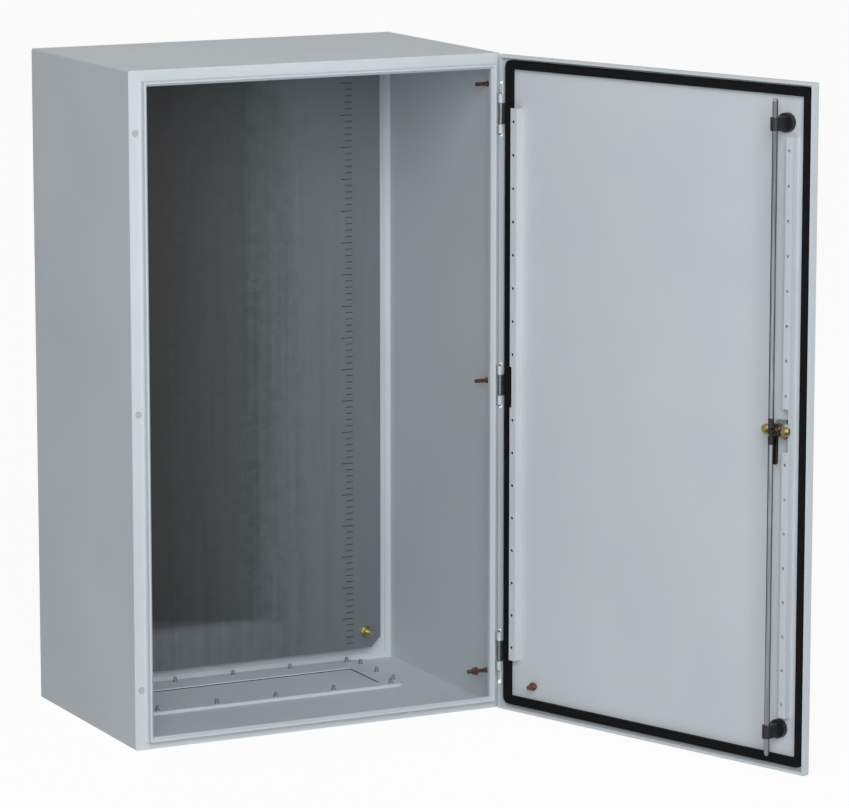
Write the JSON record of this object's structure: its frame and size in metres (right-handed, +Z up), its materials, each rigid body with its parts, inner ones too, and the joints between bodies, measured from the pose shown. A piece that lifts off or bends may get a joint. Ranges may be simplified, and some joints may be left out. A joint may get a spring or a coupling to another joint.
{
  "type": "wall enclosure",
  "caption": "Light-grey sheet-steel wall enclosure with a hinged door, rod lock, door gasket, perforated door rails, mounting plate and floor gland plate",
  "frame": {"origin": "Centre of the four wall-fixing holes, on the rear face that lies against the wall", "axes": "X to the right seen from the front (hinges on +X), Y into the wall, so the door faces -Y, Z up"},
  "size_m": [0.8083, 0.9379, 1],
  "materials": {
    "body_shell": "fine powder coat, light grey",
    "rear_panel": "fine powder coat, light grey",
    "mounting_plate": "galvanised sheet",
    "plate_studs": "zinc-plated",
    "plate_nuts": "yellow zinc",
    "gland_plate": "powder coat",
    "gland_gasket": "foamed seal",
    "gland_bolts": "zinc-plated",
    "jamb_plugs": "matte",
    "side_studs": "copper-plated",
    "side_stud_nut": "copper-plated",
    "hinge_knuckles": "fine powder coat, light grey",
    "hinge_pins": "zinc-plated",
    "hinge_caps": "matte",
    "door_panel": "fine powder coat, light grey",
    "door_gasket": "foamed polyurethane seal",
    "hinge_rail": "fine powder coat, light grey",
    "lock_rail": "fine powder coat, light grey",
    "hinge_leaves": "zinc-plated",
    "rod_guides": "glass-filled nylon",
    "lock_housing": "die-cast zinc",
    "lock_nut": "zinc-plated",
    "door_earth_stud": "copper-plated",
    "door_earth_nut": "copper-plated",
    "lock_spindle": "black",
    "lock_crank": "yellow zinc",
    "crank_bolts": "yellow zinc",
    "lock_tongue": "dark passivated steel",
    "lock_washer": "bright",
    "rod_upper": "bright drawn steel",
    "rod_cap_upper": "black",
    "rod_lower": "bright drawn steel",
    "rod_cap_lower": "black"
  },
  "bodies": {
    "cabinet": {"body_shell": "body_shell", "rear_panel": "rear_panel", "mounting_plate": "mounting_plate", "plate_studs": "plate_studs", "plate_nuts": "plate_nuts", "gland_plate": "gland_plate", "gland_gasket": "gland_gasket", "gland_bolts": "gland_bolts", "jamb_plugs": "jamb_plugs", "side_studs": "side_studs", "side_stud_nut": "side_stud_nut", "hinge_knuckles": "hinge_knuckles", "hinge_pins": "hinge_pins", "hinge_caps": "hinge_caps"},
    "door": {"door_panel": "door_panel", "door_gasket": "door_gasket", "hinge_rail": "hinge_rail", "lock_rail": "lock_rail", "hinge_leaves": "hinge_leaves", "rod_guides": "rod_guides", "lock_housing": "lock_housing", "lock_nut": "lock_nut", "door_earth_stud": "door_earth_stud", "door_earth_nut": "door_earth_nut"},
    "lock_cam": {"lock_spindle": "lock_spindle", "lock_crank": "lock_crank", "crank_bolts": "crank_bolts", "lock_tongue": "lock_tongue", "lock_washer": "lock_washer"},
    "upper_rod": {"rod_upper": "rod_upper", "rod_cap_upper": "rod_cap_upper"},
    "lower_rod": {"rod_lower": "rod_lower", "rod_cap_lower": "rod_cap_lower"}
  },
  "joints": [
    {"name": "door_hinge", "type": "hinge", "parent": "cabinet", "child": "door", "pos_m": [0.296, -0.38, 0], "axis": [0, 0, 1], "range_deg": [-110, 10]},
    {"name": "lock_turn", "type": "hinge", "parent": "door", "child": "lock_cam", "pos_m": [0.47189, -0.88957, 0], "axis": [-0.9397, -0.342, 0], "range_deg": [0, 90]},
    {"name": "upper_rod_slide", "type": "slide", "parent": "door", "child": "upper_rod", "axis": [0, 0, 1], "range_m": [0, 0.0175]},
    {"name": "lower_rod_slide", "type": "slide", "parent": "door", "child": "lower_rod", "axis": [0, 0, -1], "range_m": [0, 0.0176]}
  ],
  "couplings": [
    {"joint": "lock_turn", "follows": "upper_rod_slide", "rad_per_m": 89.7},
    {"joint": "lower_rod_slide", "follows": "upper_rod_slide", "ratio": 1}
  ]
}
